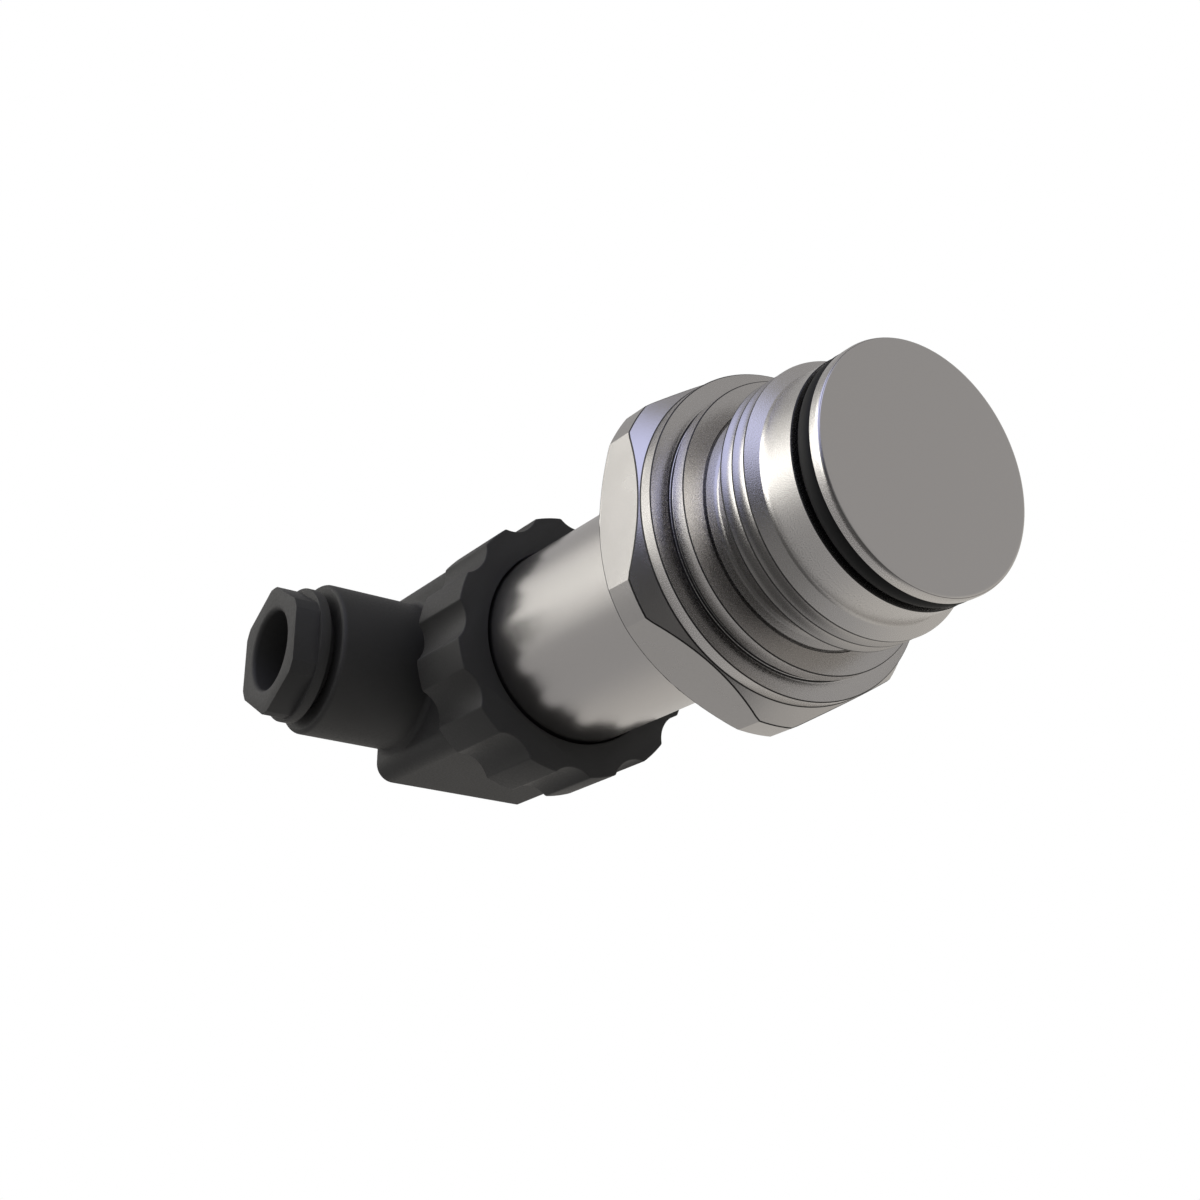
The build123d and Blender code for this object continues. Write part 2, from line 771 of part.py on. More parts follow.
# Sockets: two spring leaves either side of the blade under a clamping block
terminal_top = block_top + terminal_height
with BuildPart() as contact_sockets:
    with BuildSketch(Plane.XY.offset(block_foot + socket_foot)):
        with PolarLocations(contact_spread_radius, 4):
            Rectangle(socket_thickness, socket_width)
            Rectangle(blade_thickness + 2 * socket_slot_gap, socket_width, mode=Mode.SUBTRACT)
    extrude(amount=insert_block_height - socket_foot)
    with BuildSketch(Plane.XY.offset(block_top)):
        with PolarLocations(terminal_circle_radius, 4):
            Rectangle(terminal_depth, socket_width)
    extrude(amount=terminal_height)
    with BuildSketch(Plane.XY.offset(terminal_top - clamp_screw_reach)):
        with PolarLocations(terminal_circle_radius, 4):
            Circle(clamp_screw_radius + socket_slot_gap)
    extrude(amount=clamp_screw_reach, mode=Mode.SUBTRACT)
contact_sockets.part.label = "contact_sockets"
export_step(contact_sockets.part, "parts/contact_sockets.step")

# Slotted clamping screws in the sockets
with BuildPart() as terminal_screws:
    with BuildSketch(Plane.XY.offset(terminal_top - clamp_screw_reach)):
        with PolarLocations(terminal_circle_radius, 4):
            Circle(clamp_screw_radius)
    extrude(amount=clamp_screw_reach)
    with BuildSketch(Plane.XY.offset(terminal_top)):
        with PolarLocations(terminal_circle_radius, 4):
            Circle(clamp_head_radius)
    extrude(amount=clamp_head_height)
    with BuildSketch(Plane.XY.offset(terminal_top + clamp_head_height / 2)):
        with PolarLocations(terminal_circle_radius, 4):
            Rectangle(2 * clamp_head_radius, slot_width)
    extrude(amount=clamp_head_height, mode=Mode.SUBTRACT)
terminal_screws.part.label = "terminal_screws"
export_step(terminal_screws.part, "parts/terminal_screws.step")

# Central fixing screw with its sealing washer
washer_top = recess_floor + washer_thickness
screw_tip = platform_top - insert_length + screw_tip_gap
with BuildPart() as plug_screw:
    with BuildSketch(Plane.XY.offset(screw_tip)):
        Circle(screw_radius)
    extrude(amount=washer_top + face_gap - screw_tip)
    with BuildSketch(Plane.XY.offset(washer_top + face_gap)):
        Circle(screw_head_radius)
    extrude(amount=screw_head_height)
    fillet(plug_screw.edges().group_by(Axis.Z)[-1], screw_head_round)
    with BuildSketch(Plane.XY.offset(washer_top + face_gap + screw_head_height - slot_depth)):
        Rectangle(2 * screw_head_radius, slot_width)
        Rectangle(slot_width, cross_slot_reach)
    extrude(amount=slot_depth, mode=Mode.SUBTRACT)
plug_screw.part.label = "plug_screw"
export_step(plug_screw.part, "parts/plug_screw.step")

with BuildPart() as screw_washer:
    with BuildSketch(Plane.XY.offset(recess_floor)):
        Circle(recess_radius - face_gap)
        Circle(screw_radius + face_gap, mode=Mode.SUBTRACT)
    extrude(amount=washer_thickness)
screw_washer.part.label = "screw_washer"
export_step(screw_washer.part, "parts/screw_washer.step")

# Cable gland: rubber seal, thrust ring and hollow screw
seal_end = gland_seat + gland_seal_length
thrust_start = seal_end + face_gap
thrust_end = thrust_start + thrust_ring_thickness
shank_start = thrust_end + face_gap
gland_inner_radius = gland_bore_radius - side_gap
with BuildPart() as gland_seal:
    with BuildSketch(Plane.YZ.offset(gland_seat)):
        with Locations((0, gland_height)):
            Circle(gland_inner_radius)
            Circle(gland_seal_hole, mode=Mode.SUBTRACT)
    extrude(amount=gland_seal_length)
    chamfer(
        gland_seal.edges().filter_by(GeomType.CIRCLE).filter_by(lambda edge: edge.radius < gland_seal_hole + 0.1),
        gland_seal_mouth,
    )
gland_seal.part.label = "gland_seal"
export_step(gland_seal.part, "parts/gland_seal.step")

with BuildPart() as gland_thrust_ring:
    with BuildSketch(Plane.YZ.offset(thrust_start)):
        with Locations((0, gland_height)):
            Circle(gland_inner_radius)
            Circle(nut_bore_radius, mode=Mode.SUBTRACT)
    extrude(amount=thrust_ring_thickness)
gland_thrust_ring.part.label = "gland_thrust_ring"
export_step(gland_thrust_ring.part, "parts/gland_thrust_ring.step")

with BuildPart() as gland_nut:
    with BuildSketch(Plane.YZ.offset(nut_flange_front)):
        with Locations((0, gland_height)):
            RegularPolygon(nut_flats / 2, 6, major_radius=False)
            Circle(nut_turned_radius, mode=Mode.INTERSECT)
    extrude(amount=nut_end - nut_flange_front)
    with BuildSketch(Plane.YZ.offset(nut_flange_rear)):
        with Locations((0, gland_height)):
            Circle(nut_flange_radius)
    extrude(amount=nut_flange_front - nut_flange_rear)
    with BuildSketch(Plane.YZ.offset(shank_start)):
        with Locations((0, gland_height)):
            Circle(nut_shank_radius)
    extrude(amount=nut_flange_rear - shank_start)
    with BuildSketch(Plane.YZ.offset(shank_start)):
        with Locations((0, gland_height)):
            Circle(nut_bore_radius)
    extrude(amount=nut_end - shank_start, mode=Mode.SUBTRACT)
    chamfer(
        gland_nut.edges().filter_by(GeomType.CIRCLE).filter_by(lambda edge: edge.radius > nut_flange_radius - 0.1),
        nut_flange_break,
    )
    fillet(
        gland_nut.edges()
        .filter_by(GeomType.CIRCLE)
        .filter_by(lambda edge: edge.radius < nut_bore_radius + 0.1)
        .sort_by(Axis.X)[-1],
        nut_mouth_round,
    )
gland_nut.part.label = "gland_nut"
export_step(gland_nut.part, "parts/gland_nut.step")
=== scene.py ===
from math import atan2, cos, degrees, pi, radians, sin, tan

import bpy
from mathutils import Matrix, Vector


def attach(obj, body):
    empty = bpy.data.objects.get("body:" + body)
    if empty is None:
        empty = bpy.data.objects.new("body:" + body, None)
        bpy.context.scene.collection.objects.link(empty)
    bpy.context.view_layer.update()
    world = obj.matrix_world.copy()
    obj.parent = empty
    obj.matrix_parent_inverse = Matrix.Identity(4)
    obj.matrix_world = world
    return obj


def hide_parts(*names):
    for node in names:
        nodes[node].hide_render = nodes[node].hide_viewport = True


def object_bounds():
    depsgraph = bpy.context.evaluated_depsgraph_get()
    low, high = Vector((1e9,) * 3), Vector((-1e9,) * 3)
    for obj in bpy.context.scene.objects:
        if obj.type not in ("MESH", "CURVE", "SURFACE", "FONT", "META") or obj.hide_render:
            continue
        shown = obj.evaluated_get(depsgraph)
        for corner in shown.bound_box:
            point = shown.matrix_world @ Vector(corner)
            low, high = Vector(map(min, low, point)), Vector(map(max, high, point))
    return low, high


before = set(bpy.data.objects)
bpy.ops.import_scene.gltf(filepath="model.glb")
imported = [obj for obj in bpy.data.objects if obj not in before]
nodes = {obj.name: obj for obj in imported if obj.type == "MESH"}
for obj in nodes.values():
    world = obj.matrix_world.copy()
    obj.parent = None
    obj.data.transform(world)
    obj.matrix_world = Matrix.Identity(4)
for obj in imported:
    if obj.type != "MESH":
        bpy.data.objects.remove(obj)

cad_low, cad_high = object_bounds()
MM = 0.001
ORIGIN = (0, 0, 0)
Z_AXIS = (0, 0, 1)

# Sizes of the turned body, in millimetres from the sensing face
NOSE_RADIUS = 15.06
NOSE_RIM = 1.57
NOSE_GROOVE_END = 4.42
NOSE_GROOVE_RADIUS = 12.53
NOSE_END = 9.45
NOSE_END_ROUND = 1.5
NOSE_END_TILT = 25
RIM_ROUND = 0.8
RIM_TILT = 22
MEMBRANE = 0.3
MEMBRANE_EDGE_ROUND = 0.48
MEMBRANE_LAND = 0.5
WELD_LINE = (46, 52)
THREAD_RADIUS = 16.6
THREAD_START = 10.45
THREAD_PITCH = 2.0
THREAD_TURNS = 2
THREAD_END = THREAD_START + THREAD_TURNS * THREAD_PITCH
THREAD_ROUND = 1.7
THREAD_TILT = 56
THREAD_CREST = 0.22
UNDERCUT_RADIUS = 13.9
UNDERCUT_ROUND = 0.8
UNDERCUT_TILT = 63
CORNER_GROOVE_RADIUS = 15.05
CORNER_GROOVE_WIDTH = 0.14
CORNER_GROOVE_DEPTH = 0.08
CORNER_GROOVE_LIP = 0.25
RELIEF_END = 19.4
SHOULDER_RADIUS = 18.05
SHOULDER_END = 21.37
SEAL_GROOVE_RADIUS = 17.3
SEAL_GROOVE_ROUND = 0.8
COLLAR_RADIUS = 20.28
COLLAR_START = 22.52
COLLAR_END = 24.35
HEXAGON_FLATS = 41.0
HEXAGON_TURNED = 22.37
HEXAGON_END = 32.4
HEXAGON_REAR_BEVEL = 1.96
SPIGOT_RADIUS = 12.37
SPIGOT_END = 38.0
CELL_BORE = 9.5
CELL_SEAT = 15.0
DIE_POCKET = 4.3
DIE_POCKET_FLOOR = 13.2
WAVE_BED = 12.5
WAVE_FLOOR = 0.65
OIL_DUCT = 0.8
EDGE_LINE = 0.12
# Ranges of height whose edges have no dark line: rim, nose's end to undercut, two in the corner
# groove, and the hexagon's corners
HEIGHTS_WITHOUT_LINES = [(0, 0.7), (9, 14.7), (19.1, 19.3), (19.45, 19.5), (27, 30)]
TURNED_STEPS = 180

# Sizes of the coupling ring and of the gland screw, in millimetres
RING_FRONT = 68.7
RING_REAR = 80.2
RING_CREST_RADIUS = 18.53
RING_SCALLOPS = 12
SCALLOP_RADIUS = 4.0
SCALLOP_CENTRE = 21.3
RING_BORES = [(13.85, 67.7, 71.0), (13.42, 70.0, 78.2), (11.5, 77.2, 81.2)]
RING_EDGE = 0.2
GLAND_HEIGHT = 94.58
NUT_START = 22.1
NUT_FLANGE_START = 28.85
NUT_FLANGE_END = 30.35
NUT_END = 33.8
NUT_SHANK_RADIUS = 7.5
NUT_FLANGE_RADIUS = 9.5
NUT_FLATS = 16.7
NUT_TURNED_RADIUS = 9.15
NUT_BORE_RADIUS = 5.6
NUT_MOUTH_ROUND = 0.7
NUT_EDGE = 0.14

# How the pieces are made: lengths in millimetres, angles in degrees
MERGE_DISTANCE = 0.002
NEAR = 0.02
OVERLAP = 0.2
CUT_PAST = 1
STEEL_EDGE_LIMIT = 22
MOULDED_EDGE_LIMIT = 25
# Sides of the moulded pieces' round forms
RING_STEPS = 240
SCALLOP_STEPS = 72
BORE_STEPS = 144
NUT_STEPS = 144


def clear_selection():
    """Object mode with nothing selected, because an operator acts on all that is selected."""
    if bpy.context.object and bpy.context.object.mode != "OBJECT":
        bpy.ops.object.mode_set(mode="OBJECT")
    bpy.ops.object.select_all(action="DESELECT")


def make_active(piece):
    clear_selection()
    piece.select_set(True)
    bpy.context.view_layer.objects.active = piece


def apply_modifier(piece, modifier):
    make_active(piece)
    bpy.ops.object.modifier_apply(modifier=modifier.name)


def arc_points(centre, radius, start, end, steps):
    """Points of a profile's round stretch, from one angle to another in degrees."""
    angles = [radians(start + (end - start) * i / steps) for i in range(steps + 1)]
    return [(centre[0] + radius * cos(a), centre[1] + radius * sin(a)) for a in angles]


def draw_profile(name, points):
    """A line of edges in the XZ plane through points (radius, height) in millimetres."""
    clear_selection()
    first = points[0]
    bpy.ops.mesh.primitive_plane_add(size=MM, location=(first[0] * MM, 0, first[1] * MM))
    piece = bpy.context.object
    piece.name = piece.data.name = name
    bpy.ops.object.transform_apply()
    bpy.ops.object.mode_set(mode="EDIT")
    bpy.ops.mesh.select_all(action="SELECT")
    bpy.ops.mesh.merge(type="CENTER")
    for before, after in zip(points, points[1:]):
        step = ((after[0] - before[0]) * MM, 0, (after[1] - before[1]) * MM)
        bpy.ops.mesh.extrude_vertices_move(TRANSFORM_OT_translate={"value": step})
    return piece


def turn_profile(piece, steps):
    """Spins the drawn profile round the body's axis and closes it."""
    bpy.ops.mesh.select_all(action="SELECT")
    bpy.ops.mesh.spin(steps=steps, angle=2 * pi, center=ORIGIN, axis=Z_AXIS)
    bpy.ops.mesh.select_all(action="SELECT")
    bpy.ops.mesh.remove_doubles(threshold=MERGE_DISTANCE * MM)
    bpy.ops.mesh.normals_make_consistent(inside=False)
    bpy.ops.object.mode_set(mode="OBJECT")


def break_edges(piece, width, segments):
    """Rounds every sharp edge of a moulded piece."""
    bevel = piece.modifiers.new("edge_break", "BEVEL")
    bevel.width = width * MM
    bevel.segments = segments
    bevel.limit_method = "ANGLE"
    bevel.angle_limit = radians(MOULDED_EDGE_LIMIT)
    bevel.use_clamp_overlap = False
    apply_modifier(piece, bevel)


def line_edges(piece, width, without):
    """Bevels sharp edges into a fine line of the piece's second material, apart from some heights."""
    make_active(piece)
    bpy.ops.object.mode_set(mode="EDIT")
    bpy.ops.mesh.select_mode(type="EDGE")
    bpy.ops.mesh.select_all(action="DESELECT")
    bpy.ops.mesh.edges_select_sharp(sharpness=radians(STEEL_EDGE_LIMIT))
    bpy.ops.object.mode_set(mode="OBJECT")
    vertices = piece.data.vertices
    for edge in piece.data.edges:
        height = sum(vertices[index].co.z for index in edge.vertices) / 2 / MM
        if any(low < height < high for low, high in without):
            edge.select = False
    for face in piece.data.polygons:
        face.select = False
    bpy.ops.object.mode_set(mode="EDIT")
    bpy.ops.mesh.bevel(offset=width * MM, segments=1, affect="EDGES", material=1, clamp_overlap=False)
    bpy.ops.mesh.select_mode(type="VERT")
    bpy.ops.object.mode_set(mode="OBJECT")


def cut(piece, tool, operation="DIFFERENCE"):
    """One solid cut from, or joined to, another; the tool is used up."""
    boolean = piece.modifiers.new("cut", "BOOLEAN")
    boolean.operation = operation
    boolean.solver = "EXACT"
    boolean.object = tool
    apply_modifier(piece, boolean)
    bpy.data.objects.remove(tool)


def smooth(piece, angle):
    make_active(piece)
    bpy.ops.object.shade_smooth_by_angle(angle=radians(angle))


def give_finish(piece, *materials):
    piece.data.materials.clear()
    for material in materials:
        piece.data.materials.append(material)


def dress(piece, node, body):
    """The piece rides with its body and stands for the CAD node of the same part, which is hidden."""
    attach(piece, body)
    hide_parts(node)


def cylinder(name, radius, low, high, steps, axis="Z", centre=(0, 0)):
    """A closed cylinder along Z or X, at its size and place in millimetres."""
    clear_selection()
    middle = (low + high) / 2
    if axis == "Z":
        place, turned = (centre[0], centre[1], middle), (0, 0, 0)
    else:
        place, turned = (middle, centre[0], centre[1]), (0, pi / 2, 0)
    bpy.ops.mesh.primitive_cylinder_add(
        vertices=steps,
        radius=radius * MM,
        depth=(high - low) * MM,
        location=[value * MM for value in place],
        rotation=turned,
    )
    piece = bpy.context.object
    piece.name = piece.data.name = name
    bpy.ops.object.transform_apply()
    return piece


# Node groups and finishes. Turning marks follow the height plus MARKS_CONE times the distance from
# the axis. A mask's values lie mostly within MASK_RANGE. The shares say how much of the marks, or
# of a moulded skin's grain, a mixed mask takes, and the slow clouds' sizes are in millimetres.
MARKS_CONE = 1.7
MASK_RANGE = (0.3, 0.7)
MARKS_SHARE = 0.3
SKIN_SHARE = 0.4
METAL_CLOUD = 7
MOULDED_CLOUD = 9


def start_group(name, inputs, outputs):
    group = bpy.data.node_groups.new(name, "ShaderNodeTree")
    for label, value in inputs:
        socket = group.interface.new_socket(name=label, in_out="INPUT", socket_type="NodeSocketFloat")
        socket.default_value = value
    for label, kind in outputs:
        group.interface.new_socket(name=label, in_out="OUTPUT", socket_type=kind)
    return group, group.nodes.new("NodeGroupInput"), group.nodes.new("NodeGroupOutput")


def node(tree, kind, **settings):
    made = tree.nodes.new(kind)
    for key, value in settings.items():
        setattr(made, key, value)
    return made


def wire(tree, *pairs):
    for start, end in pairs:
        tree.links.new(start, end)


def grain_group():
    """Fine isotropic grain, such as blasted steel or a moulded skin. Size is in millimetres."""
    group, given, made = start_group(
        "fine_grain",
        [("Size", 0.2), ("Relief", 0.2)],
        [("Mask", "NodeSocketFloat"), ("Normal", "NodeSocketVector")],
    )
    place = node(group, "ShaderNodeTexCoord")
    per_grain = node(group, "ShaderNodeMath", operation="DIVIDE")
    per_grain.inputs[0].default_value = 1 / MM
    spread = node(group, "ShaderNodeVectorMath", operation="SCALE")
    noise = node(group, "ShaderNodeTexNoise")
    noise.inputs["Scale"].default_value = 1
    noise.inputs["Detail"].default_value = 1
    noise.inputs["Roughness"].default_value = 0.6
    bump = node(group, "ShaderNodeBump")
    bump.inputs["Distance"].default_value = 0.03 * MM
    wire(
        group,
        (given.outputs["Size"], per_grain.inputs[1]),
        (place.outputs["Object"], spread.inputs[0]),
        (per_grain.outputs[0], spread.inputs["Scale"]),
        (spread.outputs[0], noise.inputs["Vector"]),
        (noise.outputs[0], bump.inputs["Height"]),
        (given.outputs["Relief"], bump.inputs["Strength"]),
        (noise.outputs[0], made.inputs["Mask"]),
        (bump.outputs[0], made.inputs["Normal"]),
    )
    return group


def turning_group():
    """Fine rings that a turning tool leaves round the body's axis, on faces and cylinders alike."""
    group, given, made = start_group(
        "turning_marks", [("Spacing", 0.12)], [("Mask", "NodeSocketFloat")]
    )
    place = node(group, "ShaderNodeTexCoord")
    parts = node(group, "ShaderNodeSeparateXYZ")
    flat = node(group, "ShaderNodeCombineXYZ")
    radius = node(group, "ShaderNodeVectorMath", operation="LENGTH")
    along = node(group, "ShaderNodeMath", operation="MULTIPLY_ADD")
    along.inputs[1].default_value = MARKS_CONE
    scaled = node(group, "ShaderNodeMath", operation="MULTIPLY")
    scaled.inputs[1].default_value = 1 / MM
    per_mark = node(group, "ShaderNodeMath", operation="DIVIDE")
    noise = node(group, "ShaderNodeTexNoise", noise_dimensions="1D")
    noise.inputs["Scale"].default_value = 1
    noise.inputs["Detail"].default_value = 2
    wire(
        group,
        (place.outputs["Object"], parts.inputs[0]),
        (parts.outputs["X"], flat.inputs["X"]),
        (parts.outputs["Y"], flat.inputs["Y"]),
        (flat.outputs[0], radius.inputs[0]),
        (radius.outputs["Value"], along.inputs[0]),
        (parts.outputs["Z"], along.inputs[2]),
        (along.outputs[0], scaled.inputs[0]),
        (scaled.outputs[0], per_mark.inputs[0]),
        (given.outputs["Spacing"], per_mark.inputs[1]),
        (per_mark.outputs[0], noise.inputs["W"]),
        (noise.outputs[0], made.inputs["Mask"]),
    )
    return group


def cloud_group():
    """Slow change over the surface, such as handling marks or uneven moulding. Size in millimetres."""
    group, given, made = start_group("soft_cloud", [("Size", 6)], [("Mask", "NodeSocketFloat")])
    place = node(group, "ShaderNodeTexCoord")
    per_cloud = node(group, "ShaderNodeMath", operation="DIVIDE")
    per_cloud.inputs[0].default_value = 1 / MM
    spread = node(group, "ShaderNodeVectorMath", operation="SCALE")
    noise = node(group, "ShaderNodeTexNoise")
    noise.inputs["Scale"].default_value = 1
    noise.inputs["Detail"].default_value = 4
    wire(
        group,
        (given.outputs["Size"], per_cloud.inputs[1]),
        (place.outputs["Object"], spread.inputs[0]),
        (per_cloud.outputs[0], spread.inputs["Scale"]),
        (spread.outputs[0], noise.inputs["Vector"]),
        (noise.outputs[0], made.inputs["Mask"]),
    )
    return group


def corner_group():
    """Painted shade: a dark line in inner corners, as in the shade between two steps. Reach is in metres.
    """
    group, given, made = start_group("corner_shade", [("Reach", 1.2 * MM)], [("Mask", "NodeSocketFloat")])
    open_sky = node(group, "ShaderNodeAmbientOcclusion", samples=12, only_local=True)
    wire(
        group,
        (given.outputs["Reach"], open_sky.inputs["Distance"]),
        (open_sky.outputs["AO"], made.inputs["Mask"]),
    )
    return group


FINE_GRAIN = grain_group()
CORNER_SHADE = corner_group()
TURNING_MARKS = turning_group()
SOFT_CLOUD = cloud_group()


def start_material(name):
    material = bpy.data.materials.new(name)
    material.use_nodes = True
    tree = material.node_tree
    return material, tree, tree.nodes["Principled BSDF"]


def place_group(tree, group, **values):
    placed = node(tree, "ShaderNodeGroup", node_tree=group)
    for label, value in values.items():
        placed.inputs[label].default_value = value
    return placed


def blend_colours(tree, mask, first, second):
    """First colour where the mask is low, second where it is high."""
    ramp = node(tree, "ShaderNodeValToRGB")
    ramp.color_ramp.elements[0].position = MASK_RANGE[0]
    ramp.color_ramp.elements[0].color = (*first, 1)
    ramp.color_ramp.elements[1].position = MASK_RANGE[1]
    ramp.color_ramp.elements[1].color = (*second, 1)
    wire(tree, (mask, ramp.inputs[0]))
    return ramp.outputs[0]


def spread_values(tree, mask, low, high):
    """Turns the range of a mask into values from low to high."""
    span = node(tree, "ShaderNodeMapRange")
    span.inputs["From Min"].default_value = MASK_RANGE[0]
    span.inputs["From Max"].default_value = MASK_RANGE[1]
    span.inputs["To Min"].default_value = low
    span.inputs["To Max"].default_value = high
    wire(tree, (mask, span.inputs["Value"]))
    return span.outputs["Result"]


def shade_corners(tree, colour, reach, darkest):
    """Paints shade into a colour: multiplies it down in the inner corners."""
    corner = place_group(tree, CORNER_SHADE, Reach=reach * MM)
    ramp = node(tree, "ShaderNodeValToRGB")
    ramp.color_ramp.interpolation = "EASE"
    ramp.color_ramp.elements[0].position = 0.5
    ramp.color_ramp.elements[0].color = (darkest, darkest, darkest, 1)
    ramp.color_ramp.elements[1].position = 0.8
    ramp.color_ramp.elements[1].color = (1, 1, 1, 1)
    shaded = node(tree, "ShaderNodeMix", data_type="RGBA", blend_type="MULTIPLY")
    shaded.inputs["Factor"].default_value = 1
    wire(
        tree,
        (corner.outputs["Mask"], ramp.inputs[0]),
        (colour, shaded.inputs["A"]),
        (ramp.outputs[0], shaded.inputs["B"]),
    )
    return shaded.outputs["Result"]


def metal_material(name, dark, light, rough, grain_size, relief, marks=None, corners=None):
    """Metal with fine grain in its relief and gloss, turning marks where it was turned, and painted shade
    in inner corners when corners are given.
    """
    material, tree, shader = start_material(name)
    grain = place_group(tree, FINE_GRAIN, Size=grain_size, Relief=relief)
    shader.inputs["Metallic"].default_value = 1
    colour = blend_colours(tree, grain.outputs["Mask"], dark, light)
    if corners:
        colour = shade_corners(tree, colour, *corners)
    wire(tree, (colour, shader.inputs["Base Color"]), (grain.outputs["Normal"], shader.inputs["Normal"]))
    if marks:
        turned = place_group(tree, TURNING_MARKS, Spacing=marks)
        share = node(tree, "ShaderNodeMix")
        share.inputs["Factor"].default_value = MARKS_SHARE
        wire(
            tree,
            (grain.outputs["Mask"], share.inputs["A"]),
            (turned.outputs["Mask"], share.inputs["B"]),
            (spread_values(tree, share.outputs["Result"], *rough), shader.inputs["Roughness"]),
        )
    else:
        cloud = place_group(tree, SOFT_CLOUD, Size=METAL_CLOUD)
        wire(tree, (spread_values(tree, cloud.outputs["Mask"], *rough), shader.inputs["Roughness"]))
    return material


def moulded_material(name, dark, light, rough, grain_size, relief, gloss):
    """Moulded plastic or rubber: a fine skin, slow change of colour and a dull gloss."""
    material, tree, shader = start_material(name)
    grain = place_group(tree, FINE_GRAIN, Size=grain_size, Relief=relief)
    cloud = place_group(tree, SOFT_CLOUD, Size=MOULDED_CLOUD)
    share = node(tree, "ShaderNodeMix")
    share.inputs["Factor"].default_value = SKIN_SHARE
    shader.inputs["Specular IOR Level"].default_value = gloss
    wire(
        tree,
        (cloud.outputs["Mask"], share.inputs["A"]),
        (grain.outputs["Mask"], share.inputs["B"]),
        (blend_colours(tree, share.outputs["Result"], dark, light), shader.inputs["Base Color"]),
        (spread_values(tree, grain.outputs["Mask"], *rough), shader.inputs["Roughness"]),
        (grain.outputs["Normal"], shader.inputs["Normal"]),
    )
    return material


def glass_seal_material():
    material, tree, shader = start_material("seal_glass_dark")
    cloud = place_group(tree, SOFT_CLOUD, Size=0.6)
    shader.inputs["Coat Weight"].default_value = 0.6
    wire(
        tree,
        (
            blend_colours(tree, cloud.outputs["Mask"], (0.03, 0.05, 0.04), (0.06, 0.09, 0.08)),
            shader.inputs["Base Color"],
        ),
        (spread_values(tree, cloud.outputs["Mask"], 0.1, 0.2), shader.inputs["Roughness"]),
    )
    return material


def board_material():
    """Green board: solder resist with faint tracks on a one millimetre grid."""
    material, tree, shader = start_material("board_resist")
    place = node(tree, "ShaderNodeTexCoord")
    bricks = node(tree, "ShaderNodeTexBrick")
    bricks.inputs["Scale"].default_value = 1 / MM
    bricks.inputs["Color1"].default_value = (0.012, 0.11, 0.035, 1)
    bricks.inputs["Color2"].default_value = (0.016, 0.13, 0.045, 1)
    bricks.inputs["Mortar"].default_value = (0.05, 0.24, 0.09, 1)
    bricks.inputs["Mortar Size"].default_value = 0.06
    bricks.inputs["Brick Width"].default_value = 3.2
    bricks.inputs["Row Height"].default_value = 0.9
    upright = node(tree, "ShaderNodeMapping")
    upright.inputs["Rotation"].default_value = (pi / 2, 0, 0)
    grain = place_group(tree, FINE_GRAIN, Size=0.1, Relief=0.1)
    wire(
        tree,
        (place.outputs["Object"], upright.inputs["Vector"]),
        (upright.outputs[0], bricks.inputs["Vector"]),
        (bricks.outputs["Color"], shader.inputs["Base Color"]),
        (spread_values(tree, grain.outputs["Mask"], 0.3, 0.42), shader.inputs["Roughness"]),
        (grain.outputs["Normal"], shader.inputs["Normal"]),
    )
    return material


# Steel: size of the grain, distance of the turning marks and reach of the inner corners' shade in
# millimetres, with the share of light that is left in the corners
STEEL_GRAIN = 0.12
STEEL_MARKS = 0.1
STEEL_CORNERS = (0.5, 0.3)
SATIN_STEEL = metal_material(
    "satin_steel", (0.565, 0.55, 0.538), (0.61, 0.595, 0.582), (0.18, 0.31),
    STEEL_GRAIN, 0.5, STEEL_MARKS, STEEL_CORNERS,
)
# Hexagon flats: milled finish without turning marks, in a darker copy of the satin steel that is painted
# shade
SHADED_MILLED_STEEL = metal_material(
    "milled_steel_painted_shade", (0.485, 0.472, 0.462), (0.52, 0.508, 0.497), (0.2, 0.3),
    STEEL_GRAIN, 0.5, corners=STEEL_CORNERS,
)
TUBE_STEEL = metal_material(
    "tube_steel", (0.54, 0.526, 0.514), (0.58, 0.565, 0.553), (0.18, 0.27),
    STEEL_GRAIN, 0.25, STEEL_MARKS, STEEL_CORNERS,
)
# Thread valleys and undercut: a darker copy of the satin steel, painted shade in these hollows
SHADED_THREAD_STEEL = metal_material(
    "thread_steel_painted_shade", (0.44, 0.428, 0.419), (0.49, 0.477, 0.467), (0.2, 0.33),
    STEEL_GRAIN, 0.5, STEEL_MARKS, STEEL_CORNERS,
)
MEMBRANE_STEEL = metal_material(
    "membrane_foil", (0.575, 0.56, 0.547), (0.6, 0.585, 0.572), (0.2, 0.26), STEEL_GRAIN, 0.2
)
STEEL_EDGE = metal_material(
    "steel_edge_line", (0.03, 0.03, 0.031), (0.06, 0.059, 0.058), (0.45, 0.6), 0.16, 0.1
)
BLACK_MOULDING = moulded_material(
    "black_moulding_skin", (0.022, 0.0215, 0.021), (0.03, 0.0295, 0.029), (0.5, 0.62), 0.3, 0.12, 0.25
)
SEAL_RUBBER = moulded_material(
    "seal_rubber_skin", (0.006, 0.006, 0.006), (0.011, 0.011, 0.011), (0.55, 0.65), 0.2, 0.08, 0.2
)
